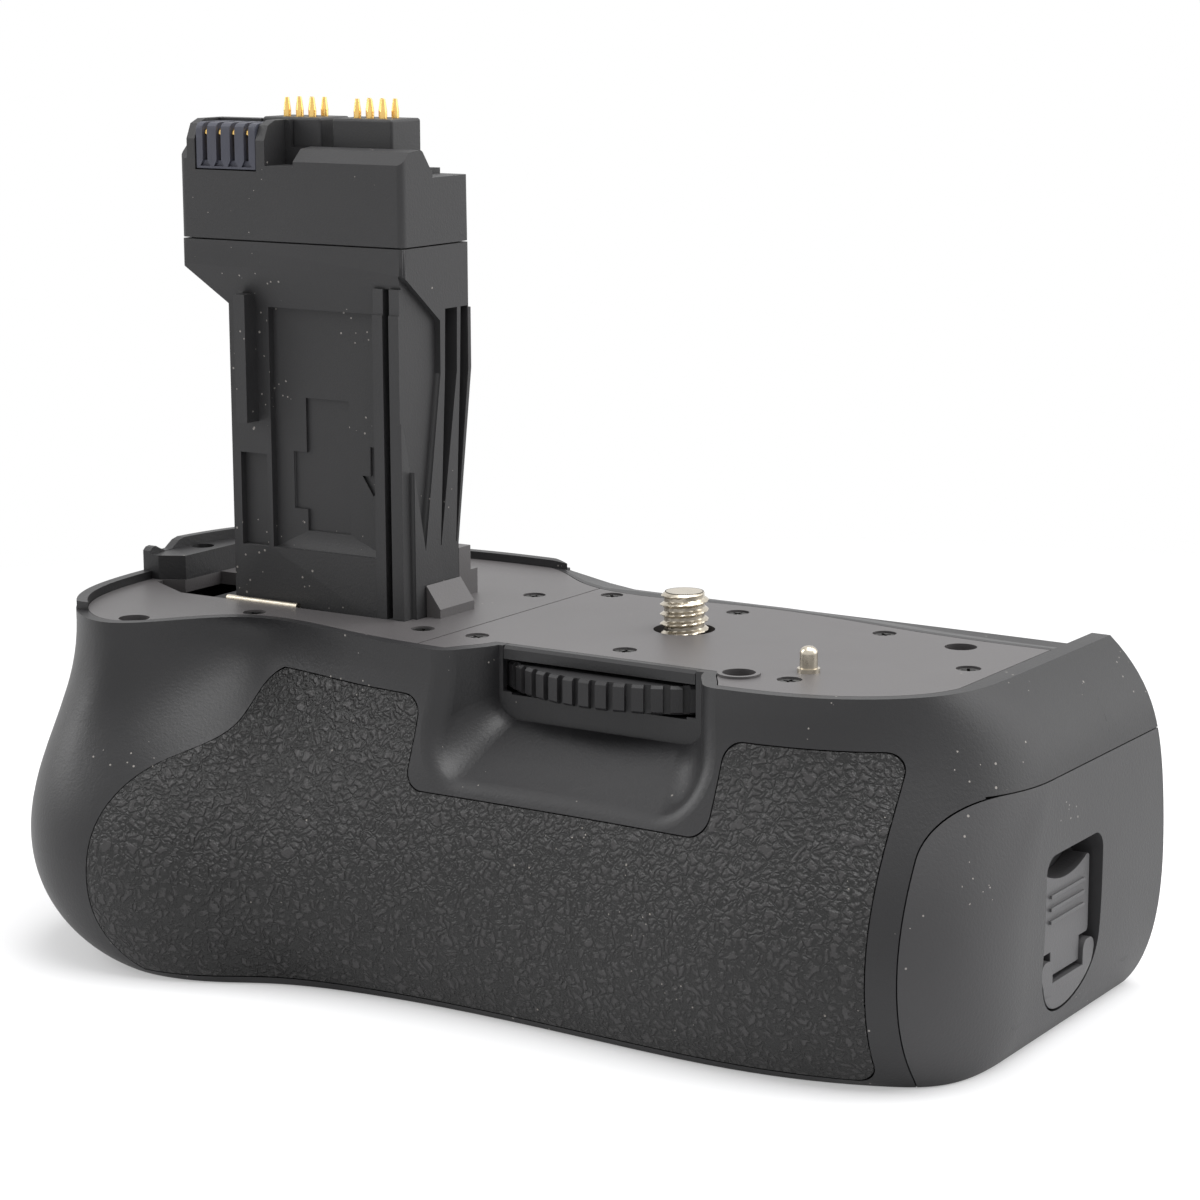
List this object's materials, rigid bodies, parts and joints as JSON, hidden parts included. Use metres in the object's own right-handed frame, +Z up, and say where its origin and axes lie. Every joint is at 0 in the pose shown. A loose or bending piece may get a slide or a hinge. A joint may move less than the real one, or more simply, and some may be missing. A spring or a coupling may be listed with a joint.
{
  "type": "camera battery grip",
  "caption": "Battery grip for a camera, with a battery-shaped contact stem, a screw with a finger wheel, a rubber hand grip, a side-loading magazine and controls.",
  "frame": {"origin": "where the axis of the attachment screw meets the top face of the seating plate", "axes": "+Z up along the attachment screw towards the camera; +X along the body, away from the stem, towards the magazine latch; +Y towards the viewer, away from the hand grip"},
  "size_m": [0.1409, 0.0749, 0.1124],
  "materials": {
    "body_plastic": "fine matte",
    "plate_plastic": "satin, finely textured",
    "grip_rubber": "pebbled",
    "wheel_plastic": "matte",
    "plated_steel": "nickel plated",
    "black_steel": "black",
    "gold": "gold plated",
    "contact_plastic": "matte",
    "tray_plastic": "matte",
    "board": "lacquered",
    "bearing_plastic": "natural"
  },
  "bodies": {
    "grip": {"front_housing": "body_plastic", "rear_housing": "body_plastic", "shutter_housing": "body_plastic", "front_grip_rubber": "grip_rubber", "rear_grip_rubber": "grip_rubber", "seating_plate": "plate_plastic", "stem_panel": "plate_plastic", "wheel_guard": "body_plastic", "plate_screws": "black_steel", "panel_screws": "black_steel", "base_screws": "black_steel", "wheel_bearing": "bearing_plastic", "locating_pin": "plated_steel", "magazine_chamber": "tray_plastic", "chamber_contacts": "gold", "circuit_board": "board", "tripod_bush": "plated_steel", "stem_column": "body_plastic", "stem_head": "body_plastic", "stem_board": "board", "contact_block": "contact_plastic", "stem_contacts": "gold", "pin_block_left": "body_plastic", "pin_block_right": "body_plastic", "door_holder": "body_plastic", "door_rod": "plated_steel"},
    "wheel_and_screw": {"attachment_wheel": "wheel_plastic", "attachment_screw": "plated_steel"},
    "magazine": {"magazine_tray": "tray_plastic", "tray_contacts": "gold", "magazine_screws": "plated_steel", "magazine_cap": "body_plastic", "latch_plate": "body_plastic"},
    "latch": {"latch_slider": "body_plastic"},
    "shutter_release": {"shutter_button": "wheel_plastic"},
    "dial": {"main_dial": "wheel_plastic", "dial_shaft": "plated_steel"},
    "focus_point": {"focus_point_button": "wheel_plastic"},
    "lock": {"lock_button": "wheel_plastic"},
    "index": {"index_button": "wheel_plastic"},
    "switch": {"power_switch": "wheel_plastic"},
    "left_pins": {"contact_pins_left": "gold"},
    "right_pins": {"contact_pins_right": "gold"}
  },
  "joints": [
    {"name": "wheel_turn", "type": "hinge", "parent": "grip", "child": "wheel_and_screw", "pos_m": [0, 0, 0], "axis": [0, 0, 1], "continuous": true},
    {"name": "magazine_slide", "type": "slide", "parent": "grip", "child": "magazine", "axis": [1, 0, 0], "range_m": [0, 0.06]},
    {"name": "latch_slide", "type": "slide", "parent": "magazine", "child": "latch", "axis": [0, 0, 1], "range_m": [0, 0.0024], "stiffness_N_per_m": 300, "springref_m": -0.001},
    {"name": "shutter_press", "type": "slide", "parent": "grip", "child": "shutter_release", "axis": [0.6157, 0, 0.788], "range_m": [0, 0.001], "stiffness_N_per_m": 500, "springref_m": -0.0005},
    {"name": "dial_turn", "type": "hinge", "parent": "grip", "child": "dial", "pos_m": [-0.0752, -0.007, -0.0358], "axis": [0, 1, 0], "continuous": true},
    {"name": "focus_point_press", "type": "slide", "parent": "grip", "child": "focus_point", "axis": [0, -1, 0], "range_m": [0, 0.0006], "stiffness_N_per_m": 500, "springref_m": -0.0005},
    {"name": "lock_press", "type": "slide", "parent": "grip", "child": "lock", "axis": [0, -1, 0], "range_m": [0, 0.0006], "stiffness_N_per_m": 500, "springref_m": -0.0005},
    {"name": "index_press", "type": "slide", "parent": "grip", "child": "index", "axis": [0, -1, 0], "range_m": [0, 0.0006], "stiffness_N_per_m": 500, "springref_m": -0.0005},
    {"name": "switch_turn", "type": "hinge", "parent": "grip", "child": "switch", "pos_m": [-0.0545, 0.0242, -0.026], "axis": [0, 1, 0], "range_deg": [0, 40]},
    {"name": "left_pins_press", "type": "slide", "parent": "grip", "child": "left_pins", "axis": [0, 0, -1], "range_m": [0, 0.001], "stiffness_N_per_m": 500, "springref_m": -0.0005},
    {"name": "right_pins_press", "type": "slide", "parent": "grip", "child": "right_pins", "axis": [0, 0, -1], "range_m": [0, 0.001], "stiffness_N_per_m": 500, "springref_m": -0.0005}
  ]
}
